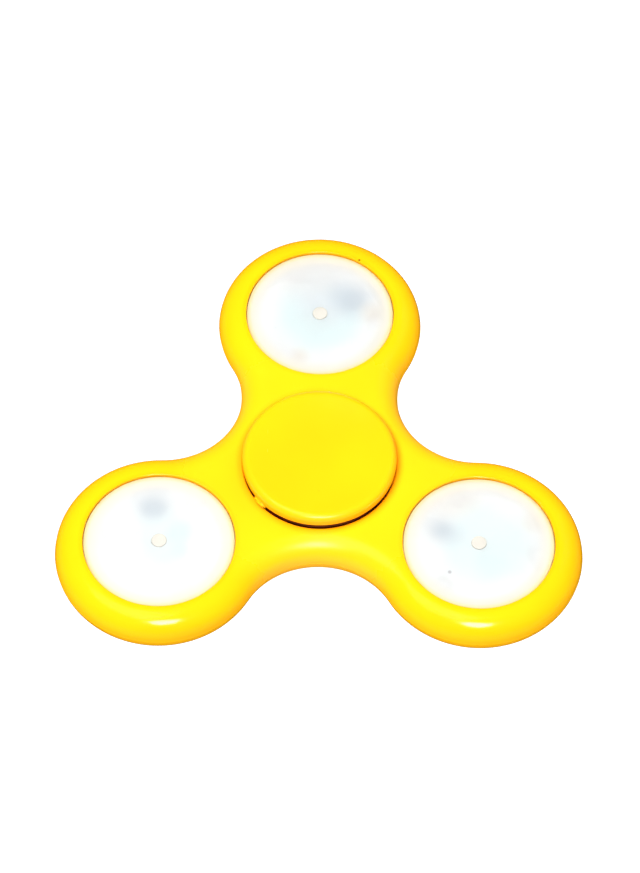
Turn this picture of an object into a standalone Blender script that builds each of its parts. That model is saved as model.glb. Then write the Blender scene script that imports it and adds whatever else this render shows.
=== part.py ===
"""Three-lobed fidget spinner with a press-fitted ball bearing and three light modules.

The spin axis is Z, and the origin is the middle of the bearing. The front, with the lenses and their
buttons, faces +Z. Run it with: blender --background --python part.py
"""

import math

import bmesh
import bpy
from mathutils import Matrix, Vector

MM = 0.001

# Body: three lobes and, between them, three concave fillets, on six circles 60 degrees apart.
LOBE_COUNT = 3
LOBE_PITCH = 26.6 * MM  # spin axis to the middle of a lobe
LOBE_RADIUS = 15.1 * MM
FILLET_RADIUS = LOBE_PITCH - LOBE_RADIUS
BODY_HALF = 3.5 * MM  # half the body's thickness
EDGE_WIDTH = 3.6 * MM  # how far the rounded edge reaches in from the outline
LOBE_STEPS = 16
FILLET_STEPS = 8
EDGE_STEPS = 6
LIP = 0.2 * MM  # chamfer where a pocket meets the face
HUB_LIP = 0.5 * MM

# Bearing, size 608.
BORE_RADIUS = 4.0 * MM
RING_RADIUS = 11.0 * MM
BEARING_HALF = 3.5 * MM
BALL_COUNT = 7
BALL_RADIUS = 1.984 * MM
BALL_PITCH = 7.5 * MM
GROOVE_RADIUS = 2.12 * MM
INNER_LAND = 6.05 * MM
OUTER_LAND = 8.95 * MM
SHIELD_SEAT = 9.6 * MM
SHIELD_SEAT_DEPTH = 0.7 * MM
SHIELD_THICKNESS = 0.3 * MM
CHAMFER = 0.3 * MM
CAGE_INNER = 6.75 * MM
CAGE_OUTER = 8.25 * MM
CAGE_BASE = -2.6 * MM
CAGE_TOP = 1.3 * MM
CAGE_POCKET = 2.2 * MM

# Finger caps.
CAP_RADIUS = 11.25 * MM
CAP_TOP = 6.0 * MM
CAP_UNDERSIDE = 4.2 * MM
CAP_EDGE = 1.0 * MM  # rounding of the rim
RIM_LAND = 0.25 * MM  # half the flat ring that the spinner rests on
DISH_RADIUS = 9.75 * MM
DISH_FLOOR = 5.1 * MM
DISH_FLAT = 4.0 * MM
SHOULDER_RADIUS = 5.6 * MM
STUB_BORE = 2.5 * MM

# Light modules: one in each lobe, a lens and a back cover screwed together over a ledge.
POCKET_RADIUS = 11.0 * MM
LEDGE_RADIUS = 10.0 * MM
LEDGE_HALF = 1.4 * MM
COVER_RADIUS = 10.85 * MM
COVER_FACE = 3.1 * MM  # height of a cover's outer face at its edge
COVER_BEVEL = 0.2 * MM
LENS_CROWN = 3.2 * MM  # height of the lens around the button
LENS_INSIDE = 2.1 * MM
BACK_INSIDE = 1.9 * MM
SPIGOT_OUTER = 9.85 * MM
SPIGOT_INNER = 9.15 * MM
SPIGOT_END = 0.2 * MM
BOSS_PITCH = 8.4 * MM
BOSS_RADIUS = 1.4 * MM
BOSS_GAP = 0.1 * MM
BOSS_ANGLES = (-40, 80, 200)  # degrees from the controller chip
MODULE_ANGLES = (36, 96, 151)  # degrees from +X to each module's chip; modules seat at any angle

SCREW_RADIUS = 0.7 * MM
SCREW_HEAD_RADIUS = 1.2 * MM
SCREW_HEAD_HEIGHT = 0.6 * MM
SCREW_BEVEL = 0.3 * MM
SCREW_TIP = 1.5 * MM
PILOT_END = 1.7 * MM
SCREW_SEAT = -2.35 * MM
SCREW_HOLE = 0.8 * MM
COUNTERBORE = 1.32 * MM
CROSS_WIDTH = 0.35 * MM
CROSS_LENGTH = 1.4 * MM
CROSS_DEPTH = 0.3 * MM

BOARD_RADIUS = 8.95 * MM
BOARD_BOTTOM = 0.45 * MM
BOARD_TOP = 1.05 * MM
BOARD_NOTCH = 1.55 * MM
CHIP_PITCH = 6.2 * MM
CHIP_RADIUS = 1.8 * MM
CHIP_HEIGHT = 0.8 * MM
LED_PITCH = 5.4 * MM
LED_ANGLES = {"red": 90, "green": 180, "blue": 270}
LED_SIZE = (2.8 * MM, 3.5 * MM, 0.75 * MM)
LED_WINDOW = 1.05 * MM
LED_WINDOW_DEPTH = 0.3 * MM

SWITCH_WIDTH = 4.0 * MM
SWITCH_CORNER = 0.3 * MM
SWITCH_BOTTOM = 1.1 * MM
SWITCH_TOP = 1.95 * MM
SWITCH_FLOOR = 1.15 * MM
SWITCH_CEILING = 1.7 * MM
SWITCH_CAVITY = 1.65 * MM
SWITCH_HOLE = 1.2 * MM
DOME_RADIUS = 1.45 * MM
DOME_HEIGHT = 0.28 * MM
DOME_THICKNESS = 0.06 * MM
DOME_GAP = 0.02 * MM  # under the dome's edge
BUTTON_RADIUS = 1.1 * MM
BUTTON_EDGE = 0.2 * MM
BUTTON_FLANGE = 1.5 * MM
BUTTON_TOP = 3.4 * MM
BUTTON_HOLE = 1.25 * MM

CELL_RADIUS = 6.25 * MM
CELL_BOTTOM = -1.65 * MM
CELL_HEIGHT = 2.0 * MM
CELL_CAP_RADIUS = 5.3 * MM
CELL_CRIMP = 0.25 * MM  # how far the negative cap stands out of the can
CRADLE_INNER = 6.4 * MM
CRADLE_OUTER = 6.9 * MM
CRADLE_TOP = -0.3 * MM
CLIP_THICKNESS = 0.15 * MM
CLIP_TIP = 1.0 * MM  # from the module's middle to the end of the clip
CLIP_WIDTH = 3.0 * MM
CLIP_ANGLE = 140  # degrees from the chip, clear of the screw bosses

GAP = 0.05 * MM  # between pieces that touch
BEYOND = 1 * MM  # how far a cutter runs past what it cuts
OVERLAP = 0.3 * MM  # how far a boss or rib runs into the wall that it joins
LOOSE = 0.1 * MM  # between pieces of one light module
WELD = 1e-7
LARGE, MEDIUM, SMALL, TINY = 28, 24, 12, 8  # sides of a round piece, by its size

YELLOW = (0.95, 0.52, 0.008)
FROSTED = (0.9, 0.92, 0.93)
STEEL = (0.62, 0.62, 0.64)


def clear_scene():
    for obj in list(bpy.data.objects):
        bpy.data.objects.remove(obj, do_unlink=True)


def material(name, colour, roughness, metallic=0.0):
    """The Principled material of this name, made on first use."""
    found = bpy.data.materials.get(name)
    if found:
        return found
    made = bpy.data.materials.new(name)
    made.use_nodes = True
    shader = made.node_tree.nodes["Principled BSDF"]
    shader.inputs["Base Color"].default_value = (*colour, 1)
    shader.inputs["Roughness"].default_value = roughness
    shader.inputs["Metallic"].default_value = metallic
    return made


def add_object(name, mesh, finish=None):
    obj = bpy.data.objects.new(name, mesh)
    bpy.context.scene.collection.objects.link(obj)
    if finish and not mesh.materials:
        mesh.materials.append(finish)
    return obj


def mesh_from(bm, name):
    """Closes up bm into a mesh that is shaded smooth except across its sharp edges."""
    bmesh.ops.remove_doubles(bm, verts=bm.verts, dist=WELD)
    bmesh.ops.recalc_face_normals(bm, faces=bm.faces)
    mesh = bpy.data.meshes.new(name)
    bm.to_mesh(mesh)
    bm.free()
    mesh.shade_smooth()
    mesh.set_sharp_from_angle(angle=math.radians(35))
    return mesh


def arc(centre_r, centre_z, radius, start, end, steps):
    """Points (radius, height) along an arc of a profile. start and end are in degrees."""
    points = []
    for i in range(steps + 1):
        angle = math.radians(start + (end - start) * i / steps)
        points.append((centre_r + radius * math.cos(angle), centre_z + radius * math.sin(angle)))
    return points


def turned_bm(profile, segments):
    """A solid of revolution about Z. A profile that starts and ends on the axis is left open there."""
    bm = bmesh.new()
    verts = [bm.verts.new((r, 0, z)) for r, z in profile]
    on_axis = profile[0][0] == 0 and profile[-1][0] == 0
    edges = [bm.edges.new(pair) for pair in zip(verts, verts[1:])]
    if not on_axis:
        edges.append(bm.edges.new((verts[-1], verts[0])))
    bmesh.ops.spin(
        bm, geom=verts + edges, cent=(0, 0, 0), axis=(0, 0, 1), angle=math.tau, steps=segments, use_merge=True
    )
    return bm


def turned(name, profile, segments):
    return mesh_from(turned_bm(profile, segments), name)


def cylinder_bm(radius, bottom, top, segments):
    return turned_bm([(0, bottom), (radius, bottom), (radius, top), (0, top)], segments)


def box_bm(low, high):
    bm = bmesh.new()
    size = Vector(high) - Vector(low)
    middle = (Vector(high) + Vector(low)) / 2
    bmesh.ops.create_cube(bm, size=1, matrix=Matrix.Translation(middle) @ Matrix.Diagonal((*size, 1)))
    return bm


def polar(radius, degrees, height=0.0):
    angle = math.radians(degrees)
    return Vector((radius * math.cos(angle), radius * math.sin(angle), height))


def spread(make_bm, places):
    """One mesh holding a copy of make_bm() turned and moved to each matrix in places."""
    whole = bmesh.new()
    for place in places:
        part = make_bm()
        bmesh.ops.transform(part, matrix=place, verts=part.verts)
        loose = bpy.data.meshes.new("part")
        part.to_mesh(loose)
        part.free()
        whole.from_mesh(loose)
        bpy.data.meshes.remove(loose)
    return whole


def combined(mesh, *steps):
    """mesh after each Boolean in steps, a list of (operation, bmesh). Returns a plain mesh."""
    base = add_object("base", mesh)
    tools = []
    for operation, bm in steps:
        tool = add_object("tool", mesh_from(bm, "tool"))
        tool.hide_render = True
        tools.append(tool)
        modifier = base.modifiers.new(operation, "BOOLEAN")
        modifier.operation = operation
        modifier.object = tool
    bpy.context.view_layer.update()
    graph = bpy.context.evaluated_depsgraph_get()
    made = bpy.data.meshes.new_from_object(base.evaluated_get(graph))
    made.name = mesh.name
    for obj in [base, *tools]:
        bpy.data.objects.remove(obj, do_unlink=True)
    made.shade_smooth()
    made.set_sharp_from_angle(angle=math.radians(35))
    return made


# ---- Body ----


def outline(inset):
    """The body's outline, moved in by inset, as points at height 0, anticlockwise."""
    points = []
    for lobe in range(LOBE_COUNT):
        middle = 90 + lobe * 360 / LOBE_COUNT
        lobe_centre = polar(LOBE_PITCH, middle)
        for i in range(LOBE_STEPS):
            turn = middle - 120 + 240 * i / LOBE_STEPS
            points.append(lobe_centre + polar(LOBE_RADIUS - inset, turn))
        fillet_centre = polar(LOBE_PITCH, middle + 60)
        for i in range(FILLET_STEPS):
            turn = middle - 60 - 120 * i / FILLET_STEPS
            points.append(fillet_centre + polar(FILLET_RADIUS + inset, turn))
    return points


def body_blank():
    """The body before boring: outlines stacked so that the edge is half an ellipse."""
    bm = bmesh.new()
    rings = []
    for step in range(EDGE_STEPS + 1):
        rise = math.radians(-90 + 180 * step / EDGE_STEPS)
        inset = EDGE_WIDTH * (1 - math.cos(rise))
        height = BODY_HALF * math.sin(rise)
        rings.append([bm.verts.new((p.x, p.y, height)) for p in outline(inset)])
    for low, high in zip(rings, rings[1:]):
        for i in range(len(low)):
            after = (i + 1) % len(low)
            bm.faces.new((low[i], low[after], high[after], high[i]))
    bm.faces.new(rings[0])
    bm.faces.new(rings[-1])
    return mesh_from(bm, "spinner_body")


def both_ways(upper, sides):
    """A cutter about Z with the profile upper, for heights above 0, and its mirror image below."""
    return turned_bm([(r, -z) for r, z in reversed(upper)] + upper, sides)


def hub_cutter():
    bore = RING_RADIUS + GAP
    beyond = BODY_HALF + BEYOND
    upper = arc(bore + HUB_LIP, BODY_HALF - HUB_LIP, HUB_LIP, 180, 90, 2)
    return both_ways(upper + [(bore + HUB_LIP, beyond), (0, beyond)], LARGE)


def pocket_cutter():
    """A through hole for the module, wider beyond the ledge that its two covers close over."""
    beyond = BODY_HALF + BEYOND
    upper = [(LEDGE_RADIUS, LEDGE_HALF), (POCKET_RADIUS, LEDGE_HALF), (POCKET_RADIUS, BODY_HALF - LIP)]
    upper += [(POCKET_RADIUS + LIP, BODY_HALF), (POCKET_RADIUS + LIP, beyond), (0, beyond)]
    return both_ways(upper, MEDIUM)


def make_body(finish):
    places = [Matrix.Translation(polar(LOBE_PITCH, 90 + i * 120)) for i in range(LOBE_COUNT)]
    cuts = [("DIFFERENCE", hub_cutter()), ("DIFFERENCE", spread(pocket_cutter, places))]
    add_object("spinner_body", combined(body_blank(), *cuts), finish)


# ---- Bearing ----


def groove(side, land):
    """The raceway's arc on the ring whose land is at that radius, from low to high. side is 1 outside."""
    reach = math.degrees(math.acos(abs(land - BALL_PITCH) / GROOVE_RADIUS))
    if side > 0:
        return arc(BALL_PITCH, 0, GROOVE_RADIUS, -reach, reach, 4)
    return arc(BALL_PITCH, 0, GROOVE_RADIUS, 180 + reach, 180 - reach, 4)


def make_bearing(steel, nylon, ball_finish):
    half = BEARING_HALF
    seat = half - SHIELD_SEAT_DEPTH
    outer = [(RING_RADIUS - CHAMFER, -half), (RING_RADIUS, -half + CHAMFER)]
    outer += [(RING_RADIUS, half - CHAMFER), (RING_RADIUS - CHAMFER, half)]
    outer += [(SHIELD_SEAT, half), (SHIELD_SEAT, seat), (OUTER_LAND, seat)]
    outer += list(reversed(groove(1, OUTER_LAND)))
    outer += [(OUTER_LAND, -seat), (SHIELD_SEAT, -seat), (SHIELD_SEAT, -half)]
    add_object("bearing_outer_ring", turned("bearing_outer_ring", outer, LARGE), steel)

    inner = [(BORE_RADIUS + CHAMFER, -half), (INNER_LAND, -half)]
    inner += groove(-1, INNER_LAND)
    inner += [(INNER_LAND, half), (BORE_RADIUS + CHAMFER, half), (BORE_RADIUS, half - CHAMFER)]
    inner += [(BORE_RADIUS, -half + CHAMFER)]
    add_object("bearing_inner_ring", turned("bearing_inner_ring", inner, LARGE), steel)

    blank = [(CAGE_INNER, CAGE_BASE), (CAGE_OUTER, CAGE_BASE), (CAGE_OUTER, CAGE_TOP), (CAGE_INNER, CAGE_TOP)]
    ball_places = [polar(BALL_PITCH, i * 360 / BALL_COUNT) for i in range(BALL_COUNT)]
    lying = Matrix.Rotation(math.radians(90), 4, "Y")
    pocket_places = [
        Matrix.Translation(p) @ Matrix.Rotation(math.atan2(p.y, p.x), 4, "Z") @ lying for p in ball_places
    ]
    pockets = spread(lambda: cylinder_bm(CAGE_POCKET, -BALL_RADIUS, BALL_RADIUS, SMALL), pocket_places)
    cage = combined(turned("bearing_cage", blank, LARGE), ("DIFFERENCE", pockets))
    add_object("bearing_cage", cage, nylon)

    ball_bm = bmesh.new()
    bmesh.ops.create_uvsphere(ball_bm, u_segments=10, v_segments=6, radius=BALL_RADIUS)
    ball_mesh = mesh_from(ball_bm, "bearing_ball")
    for i, place in enumerate(ball_places):
        ball = add_object(f"bearing_ball_{i + 1}", ball_mesh, ball_finish)
        ball.location = place

    shield_top = seat + LOOSE + SHIELD_THICKNESS
    shield = [(INNER_LAND + 2.5 * LOOSE, shield_top - SHIELD_THICKNESS)]
    shield += [(SHIELD_SEAT - LOOSE, shield_top - SHIELD_THICKNESS)]
    shield += [(SHIELD_SEAT - LOOSE, shield_top), (INNER_LAND + 2.5 * LOOSE, shield_top)]
    shield_mesh = turned("bearing_shield", shield, LARGE)
    add_object("bearing_shield_front", shield_mesh, steel)
    rear = add_object("bearing_shield_rear", shield_mesh, steel)
    rear.rotation_euler = (math.pi, 0, 0)


# ---- Finger caps ----


def cap_profile():
    """Front cap, from the dish's middle out over the rim, under the disc and down the hollow stub."""
    rim_centre = CAP_RADIUS - CAP_EDGE
    middle = (DISH_FLAT + DISH_RADIUS) / 2
    points = [(0, DISH_FLOOR), (DISH_FLAT, DISH_FLOOR), (middle, DISH_FLOOR + (CAP_TOP - DISH_FLOOR) / 4)]
    points += [(rim_centre - RIM_LAND, CAP_TOP), (rim_centre + RIM_LAND, CAP_TOP)]
    points += arc(rim_centre, CAP_TOP - CAP_EDGE, CAP_EDGE, 50, 0, 2)
    points += [(CAP_RADIUS, CAP_UNDERSIDE), (SHOULDER_RADIUS, CAP_UNDERSIDE)]
    points += [(SHOULDER_RADIUS, BEARING_HALF + GAP), (BORE_RADIUS - GAP, BEARING_HALF + GAP)]
    points += [(BORE_RADIUS - GAP, LOOSE), (STUB_BORE, LOOSE), (STUB_BORE, CAP_UNDERSIDE), (0, CAP_UNDERSIDE)]
    return points


def make_caps(finish):
    mesh = turned("finger_cap", cap_profile(), LARGE)
    add_object("finger_cap_front", mesh, finish)
    rear = add_object("finger_cap_rear", mesh, finish)
    rear.rotation_euler = (math.pi, 0, 0)


# ---- Light modules ----


def boss_places(height=0.0):
    return [Matrix.Translation(polar(BOSS_PITCH, angle, height)) for angle in BOSS_ANGLES]


def at_bosses(radius, bottom, top, segments=TINY):
    return spread(lambda: cylinder_bm(radius, bottom, top, segments), boss_places())


def lens_mesh():
    """Front cover: a slightly crowned disc with a hole for the button, a skirt, a spigot and three bosses."""
    profile = [(BUTTON_HOLE, LENS_INSIDE), (BUTTON_HOLE, LENS_CROWN)]
    profile += [(COVER_RADIUS - COVER_BEVEL, COVER_FACE), (COVER_RADIUS, COVER_FACE - COVER_BEVEL)]
    profile += [(COVER_RADIUS, LEDGE_HALF + LOOSE), (SPIGOT_OUTER, LEDGE_HALF + LOOSE)]
    profile += [(SPIGOT_OUTER, SPIGOT_END), (SPIGOT_INNER, SPIGOT_END), (SPIGOT_INNER, LENS_INSIDE)]
    disc = turned("led_lens", profile, MEDIUM)
    bosses = at_bosses(BOSS_RADIUS, BOSS_GAP / 2, LENS_INSIDE + OVERLAP, SMALL)
    pilots = at_bosses(SCREW_HOLE, -BEYOND, PILOT_END)
    return combined(disc, ("UNION", bosses), ("DIFFERENCE", pilots))


def back_cover_mesh():
    """Rear cover: a flat disc with a skirt, a spigot, screw bosses and a cradle for the coin cell."""
    profile = [(0, -BACK_INSIDE), (SPIGOT_INNER, -BACK_INSIDE), (SPIGOT_INNER, -SPIGOT_END)]
    profile += [(SPIGOT_OUTER, -SPIGOT_END), (SPIGOT_OUTER, -LEDGE_HALF - LOOSE)]
    profile += [(COVER_RADIUS, -LEDGE_HALF - LOOSE), (COVER_RADIUS, -COVER_FACE + COVER_BEVEL)]
    profile += [(COVER_RADIUS - COVER_BEVEL, -COVER_FACE), (0, -COVER_FACE)]
    disc = turned("led_back_cover", profile, MEDIUM)
    floor = -BACK_INSIDE - OVERLAP
    bosses = at_bosses(BOSS_RADIUS, floor, -BOSS_GAP / 2, SMALL)
    cradle_profile = [(CRADLE_INNER, floor), (CRADLE_OUTER, floor), (CRADLE_OUTER, CRADLE_TOP)]
    cradle = turned_bm([*cradle_profile, (CRADLE_INNER, CRADLE_TOP)], MEDIUM)
    reach = CLIP_WIDTH / 2 + LOOSE
    clip_slot = box_bm((CELL_CAP_RADIUS, -reach, -BACK_INSIDE), (BOSS_PITCH, reach, BEYOND))
    turn = Matrix.Rotation(math.radians(CLIP_ANGLE), 3, "Z")
    bmesh.ops.rotate(clip_slot, verts=clip_slot.verts, matrix=turn)
    below = -COVER_FACE - BEYOND
    holes = at_bosses(SCREW_HOLE, below, BEYOND)
    heads = at_bosses(COUNTERBORE, below, SCREW_SEAT, SMALL)
    cuts = [("DIFFERENCE", clip_slot), ("UNION", bosses), ("DIFFERENCE", holes), ("DIFFERENCE", heads)]
    return combined(disc, ("UNION", cradle), *cuts)


def board_mesh():
    disc = mesh_from(cylinder_bm(BOARD_RADIUS, BOARD_BOTTOM, BOARD_TOP, MEDIUM), "led_board")
    notches = at_bosses(BOARD_NOTCH, BOARD_BOTTOM - BEYOND, BOARD_TOP + BEYOND)
    return combined(disc, ("DIFFERENCE", notches))


def button_mesh():
    """The push button: a flange held inside the switch, and a stem that reaches through the lens."""
    low = SWITCH_FLOOR + DOME_HEIGHT + GAP
    profile = [(0, low), (BUTTON_FLANGE, low), (BUTTON_FLANGE, SWITCH_CEILING - GAP)]
    profile += [(BUTTON_RADIUS, SWITCH_CEILING - GAP)]
    profile += arc(BUTTON_RADIUS - BUTTON_EDGE, BUTTON_TOP - BUTTON_EDGE, BUTTON_EDGE, 0, 90, 2)
    profile += [(0, BUTTON_TOP)]
    return turned("led_button", profile, SMALL)


def switch_mesh():
    """The switch housing, a square case with a round cavity that holds the button's flange."""
    half = SWITCH_WIDTH / 2
    case = box_bm((-half, -half, SWITCH_BOTTOM), (half, half, SWITCH_TOP))
    uprights = [e for e in case.edges if abs(e.verts[0].co.z - e.verts[1].co.z) > WELD]
    bmesh.ops.bevel(case, geom=uprights, offset=SWITCH_CORNER, segments=1, affect="EDGES")
    cavity = cylinder_bm(SWITCH_CAVITY, SWITCH_FLOOR, SWITCH_CEILING, SMALL)
    hole = cylinder_bm(SWITCH_HOLE, SWITCH_CEILING - LOOSE, SWITCH_TOP + BEYOND, SMALL)
    return combined(mesh_from(case, "led_switch"), ("DIFFERENCE", cavity), ("DIFFERENCE", hole))


def dome_mesh():
    """The switch's snap dome, a thin shallow cap that stands on its edge."""
    low = SWITCH_FLOOR + DOME_GAP
    shares = (0.5, 0.85)
    top = low + DOME_HEIGHT
    outside = [(0, top)] + [(DOME_RADIUS * s, top - DOME_HEIGHT * s**3) for s in shares]
    inside = [(DOME_RADIUS * s, top - DOME_THICKNESS - DOME_HEIGHT * s**3) for s in reversed(shares)]
    foot = [(DOME_RADIUS, low + DOME_THICKNESS / 2), (DOME_RADIUS - DOME_THICKNESS, low)]
    return turned("switch_dome", outside + foot + inside + [(0, top - DOME_THICKNESS)], SMALL)


def chip_mesh():
    """The controller under its drop of black resin, a low dome on the board."""
    low = BOARD_TOP + GAP / 2
    dome = [(CHIP_RADIUS * math.cos(a), low + CHIP_HEIGHT * math.sin(a)) for a in (0.35, 0.85, 1.25)]
    return turned("led_chip", [(0, low), (CHIP_RADIUS, low), *dome, (0, low + CHIP_HEIGHT)], SMALL)


def led_mesh():
    """A surface-mount LED package with a round well over its die."""
    length, width, height = LED_SIZE
    low = BOARD_TOP + GAP / 2
    case = box_bm((-length / 2, -width / 2, low), (length / 2, width / 2, low + height))
    top = low + height
    floor = top - LED_WINDOW_DEPTH
    well = [(0, floor), (LED_WINDOW * 0.8, floor), (LED_WINDOW, top + GAP), (0, top + GAP)]
    return combined(mesh_from(case, "led"), ("DIFFERENCE", turned_bm(well, TINY)))


def cell_mesh():
    """A coin cell: the can and, above it, the smaller negative cap."""
    low, top = CELL_BOTTOM, CELL_BOTTOM + CELL_HEIGHT
    crimp = top - CELL_CRIMP
    profile = [(0, low), (CELL_RADIUS, low), (CELL_RADIUS, crimp), (CELL_CAP_RADIUS, crimp)]
    profile += [(CELL_CAP_RADIUS, top), (0, top)]
    return turned("coin_cell", profile, MEDIUM)


def clip_mesh():
    """The positive contact: a strip that hangs from the board's edge and turns in under the cell."""
    inner = CELL_RADIUS + GAP
    outer = inner + CLIP_THICKNESS
    under = CELL_BOTTOM - GAP
    section = [(outer, BOARD_BOTTOM - GAP), (inner, BOARD_BOTTOM - GAP), (inner, under)]
    section += [(CLIP_TIP, under), (CLIP_TIP, under - CLIP_THICKNESS), (outer, under - CLIP_THICKNESS)]
    bm = bmesh.new()
    face = bm.faces.new([bm.verts.new((x, -CLIP_WIDTH / 2, z)) for x, z in section])
    grown = bmesh.ops.extrude_face_region(bm, geom=[face])["geom"]
    moved = [v for v in grown if isinstance(v, bmesh.types.BMVert)]
    bmesh.ops.translate(bm, verts=moved, vec=(0, CLIP_WIDTH, 0))
    return mesh_from(bm, "cell_clip")


def screw_mesh():
    """A pan-head screw pointing up, its head below, with a cross recess."""
    head = SCREW_SEAT - GAP
    low = head - SCREW_HEAD_HEIGHT
    profile = [(0, low), (SCREW_HEAD_RADIUS - SCREW_BEVEL, low), (SCREW_HEAD_RADIUS, low + SCREW_BEVEL)]
    profile += [(SCREW_HEAD_RADIUS, head), (SCREW_RADIUS, head), (SCREW_RADIUS, SCREW_TIP), (0, SCREW_TIP)]
    length, width = CROSS_LENGTH / 2, CROSS_WIDTH / 2
    depth = low + CROSS_DEPTH
    below = low - BEYOND
    one = box_bm((-length, -width, below), (length, width, depth))
    other = box_bm((-width, -length, below), (width, length, depth))
    return combined(turned("cover_screw", profile, TINY), ("DIFFERENCE", one), ("DIFFERENCE", other))


def make_modules(finishes):
    """Three light modules. Each is a set of pieces parented to an empty in the middle of its lobe."""
    meshes = {
        "led_lens": lens_mesh(),
        "led_back_cover": back_cover_mesh(),
        "led_board": board_mesh(),
        "led_switch": switch_mesh(),
        "switch_dome": dome_mesh(),
        "led_button": button_mesh(),
        "coin_cell": cell_mesh(),
        "cell_clip": clip_mesh(),
    }
    chip, led, screw = chip_mesh(), led_mesh(), screw_mesh()
    for lobe in range(LOBE_COUNT):
        number = lobe + 1
        module = bpy.data.objects.new(f"light_module_{number}", None)
        bpy.context.scene.collection.objects.link(module)
        module.location = polar(LOBE_PITCH, 90 + lobe * 120)
        module.rotation_euler = (0, 0, math.radians(MODULE_ANGLES[lobe]))

        def place(name, mesh, finish, at=(0, 0, 0), turn=0.0):
            piece = add_object(name, mesh, finish)
            piece.parent = module
            piece.location = at
            piece.rotation_euler = (0, 0, math.radians(turn))

        for name, mesh in meshes.items():
            place(f"{name}_{number}", mesh, finishes[name], turn=CLIP_ANGLE if name == "cell_clip" else 0.0)
        place(f"led_chip_{number}", chip, finishes["led_chip"], at=polar(CHIP_PITCH, 0))
        for colour, angle in LED_ANGLES.items():
            place(f"led_{colour}_{number}", led, finishes["led"], at=polar(LED_PITCH, angle), turn=angle)
        for letter, angle in zip("abc", BOSS_ANGLES):
            place(f"cover_screw_{number}{letter}", screw, finishes["screw"], at=polar(BOSS_PITCH, angle))


def main():
    clear_scene()
    body = material("body", YELLOW, 0.3)
    make_body(body)
    make_bearing(
        material("bearing_steel", STEEL, 0.25, 1.0),
        material("cage", (0.75, 0.72, 0.62), 0.5),
        material("bearing_ball", (0.75, 0.75, 0.77), 0.08, 1.0),
    )
    make_caps(material("cap", YELLOW, 0.32))
    frosted = material("lens", FROSTED, 0.4)
    make_modules(
        {
            "led_lens": frosted,
            "led_back_cover": material("back_cover", FROSTED, 0.45),
            "led_board": material("board", (0.55, 0.75, 0.78), 0.45),
            "led_switch": material("switch", (0.06, 0.06, 0.07), 0.5),
            "switch_dome": material("spring_steel", STEEL, 0.3, 1.0),
            "led_button": material("button", (0.87, 0.82, 0.68), 0.4),
            "coin_cell": material("cell", (0.7, 0.7, 0.7), 0.3, 1.0),
            "cell_clip": material("spring_steel", STEEL, 0.3, 1.0),
            "led_chip": material("chip", (0.02, 0.02, 0.025), 0.35),
            "led": material("led", (0.9, 0.88, 0.78), 0.35),
            "screw": material("screw", (0.45, 0.45, 0.46), 0.35, 1.0),
        }
    )


main()
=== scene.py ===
"""Looks of the three-lobed fidget spinner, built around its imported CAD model.

Lengths are in metres. The spin axis is Z, the front with the lenses faces +Z, and lobe 1 points along +Y.
Each light module is drawn in its own frame, with its middle on Z and its controller chip along +X.
"""

import math

import bmesh
import bpy
from mathutils import Matrix, Vector, geometry, noise


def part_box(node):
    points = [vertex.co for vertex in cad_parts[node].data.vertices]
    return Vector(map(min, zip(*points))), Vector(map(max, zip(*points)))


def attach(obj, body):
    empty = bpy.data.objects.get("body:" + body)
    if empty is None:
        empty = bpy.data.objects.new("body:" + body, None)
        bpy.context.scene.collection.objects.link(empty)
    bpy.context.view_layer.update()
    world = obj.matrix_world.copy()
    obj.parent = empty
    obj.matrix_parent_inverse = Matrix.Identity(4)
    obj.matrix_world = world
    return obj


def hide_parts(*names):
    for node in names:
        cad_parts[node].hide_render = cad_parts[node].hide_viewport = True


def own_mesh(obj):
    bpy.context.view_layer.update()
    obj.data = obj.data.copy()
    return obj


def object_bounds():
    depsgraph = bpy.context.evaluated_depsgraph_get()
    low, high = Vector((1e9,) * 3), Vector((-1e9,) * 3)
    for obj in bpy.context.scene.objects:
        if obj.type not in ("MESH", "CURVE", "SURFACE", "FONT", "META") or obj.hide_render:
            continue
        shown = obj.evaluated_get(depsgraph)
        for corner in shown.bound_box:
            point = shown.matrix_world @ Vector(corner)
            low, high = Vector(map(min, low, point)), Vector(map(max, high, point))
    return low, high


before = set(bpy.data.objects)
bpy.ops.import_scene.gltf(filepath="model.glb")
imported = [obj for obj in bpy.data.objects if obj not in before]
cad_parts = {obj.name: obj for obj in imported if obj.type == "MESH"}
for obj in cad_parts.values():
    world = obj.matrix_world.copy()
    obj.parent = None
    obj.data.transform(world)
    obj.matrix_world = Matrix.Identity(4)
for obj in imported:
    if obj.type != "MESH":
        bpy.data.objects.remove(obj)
cad_low, cad_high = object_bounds()

MM = 0.001
LOBES = 3
BALLS = 7
SCREWS = "abc"

# Camera: a long lens that looks down at the front from just left of the middle.
FOCAL_MM = 161.9
SENSOR_MM = 36.0
CAMERA_DISTANCE = 572.46 * MM
CAMERA_AZIMUTH = -0.623
CAMERA_ELEVATION = 57.214
CAMERA_ROLL = 0.976
CAMERA_SLIDE = (0.093 * MM, 4.015 * MM)  # right and up, in the camera's own directions

# Light: a large soft panel high on the left, a fill behind on the right, and a small panel by the camera.
# Each is (azimuth, elevation, distance, diameter, watts). Only the small one shows in reflections.
KEY = (-70.0, 74.0, 0.7, 0.5, 7.8)
FILL = (130.0, 40.0, 0.8, 0.4, 1.5)
GLINT = (2.9, 52.3, 0.75, 0.26, 3.3)
SKY = 0.18  # the strength of the even white sky
FLOOR_RADIUS = 2.5
FLOOR_WHITE = 0.06
FLOOR_GLOW = 1.3  # the floor is a lit table, so that shadows on it stay pale

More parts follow.
